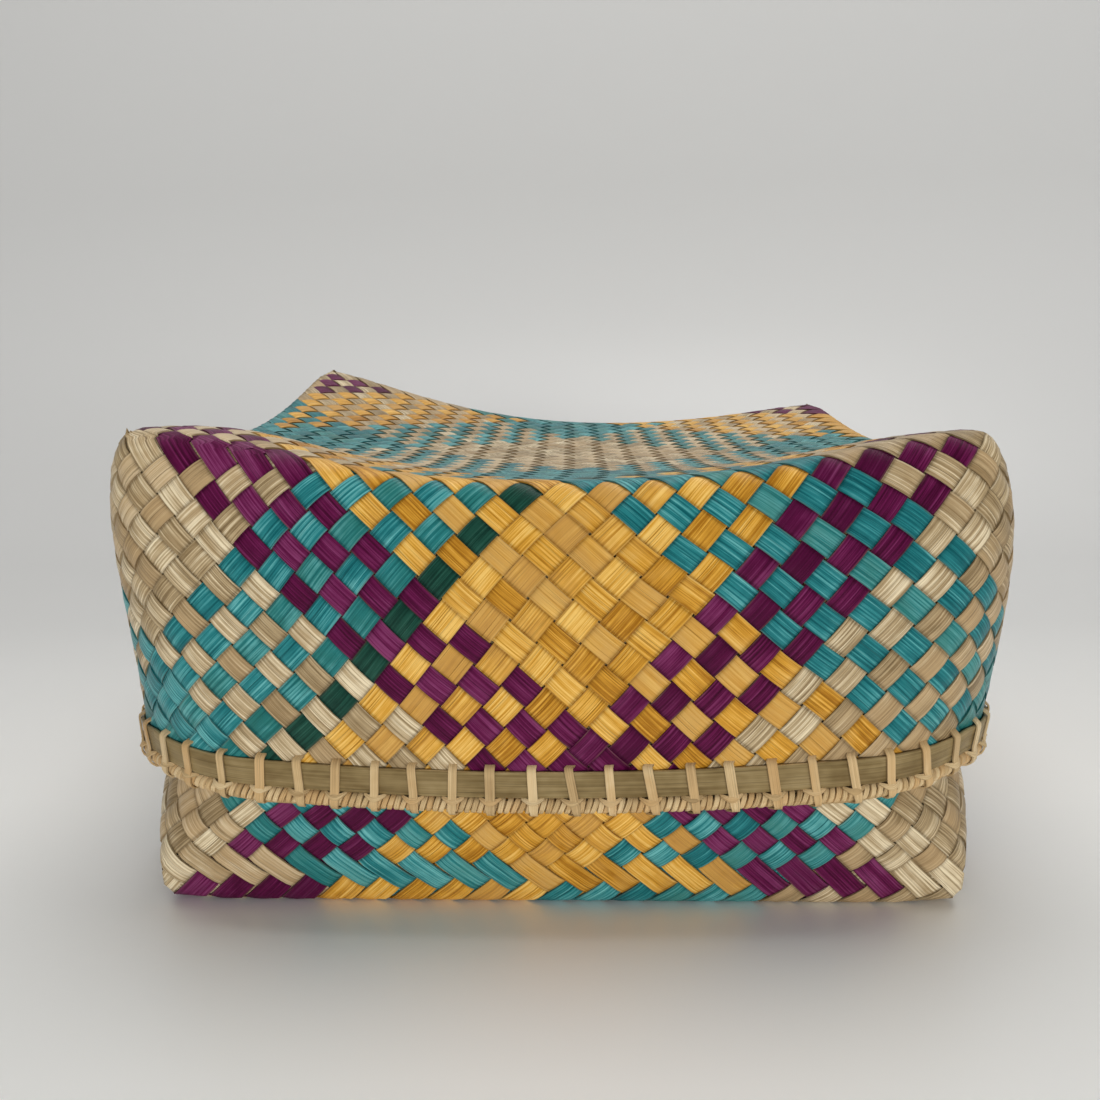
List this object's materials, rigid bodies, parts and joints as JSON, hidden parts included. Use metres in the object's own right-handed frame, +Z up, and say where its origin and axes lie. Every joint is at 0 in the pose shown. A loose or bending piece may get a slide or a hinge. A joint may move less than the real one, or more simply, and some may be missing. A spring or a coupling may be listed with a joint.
{
  "type": "woven lidded box",
  "caption": "Square plaited bamboo box with a deep lift-off lid that slides down over its base, raised corner tips and rattan-bound rims.",
  "frame": {"origin": "the middle of the flat foot, on the surface that the box stands on", "axes": "+Z up, the way the lid lifts off; -Y towards the pictured front; +X to the right of that front"},
  "size_m": [0.2869, 0.2864, 0.1556],
  "materials": {
    "dyed_bamboo": "satin dyed strip",
    "teal_bamboo": "satin dyed strip",
    "orange_bamboo": "satin dyed strip",
    "purple_bamboo": "satin dyed strip",
    "green_bamboo": "satin dyed strip",
    "natural_bamboo": "satin undyed strip",
    "plain_bamboo": "matt natural strip",
    "bamboo_slat": "smooth split slat",
    "rattan_cane": "matt",
    "rattan_strip": "satin"
  },
  "bodies": {
    "base": {"base_outer_weave": "dyed_bamboo", "base_lining": "plain_bamboo", "base_rim_outer_slat": "bamboo_slat", "base_rim_inner_slat": "bamboo_slat", "base_rim_cane": "rattan_cane", "base_rim_binding_front": "rattan_strip", "base_rim_binding_right": "rattan_strip", "base_rim_binding_back": "rattan_strip", "base_rim_binding_left": "rattan_strip"},
    "lid": {"lid_outer_weave": "dyed_bamboo", "lid_lining": "plain_bamboo", "lid_rim_outer_slat": "bamboo_slat", "lid_rim_inner_slat": "bamboo_slat", "lid_rim_cane": "rattan_cane", "lid_rim_binding_front": "rattan_strip", "lid_rim_binding_right": "rattan_strip", "lid_rim_binding_back": "rattan_strip", "lid_rim_binding_left": "rattan_strip"}
  },
  "joints": [
    {"name": "lid_lift", "type": "slide", "parent": "base", "child": "lid", "axis": [0, 0, 1], "range_m": [0, 0.14]}
  ]
}
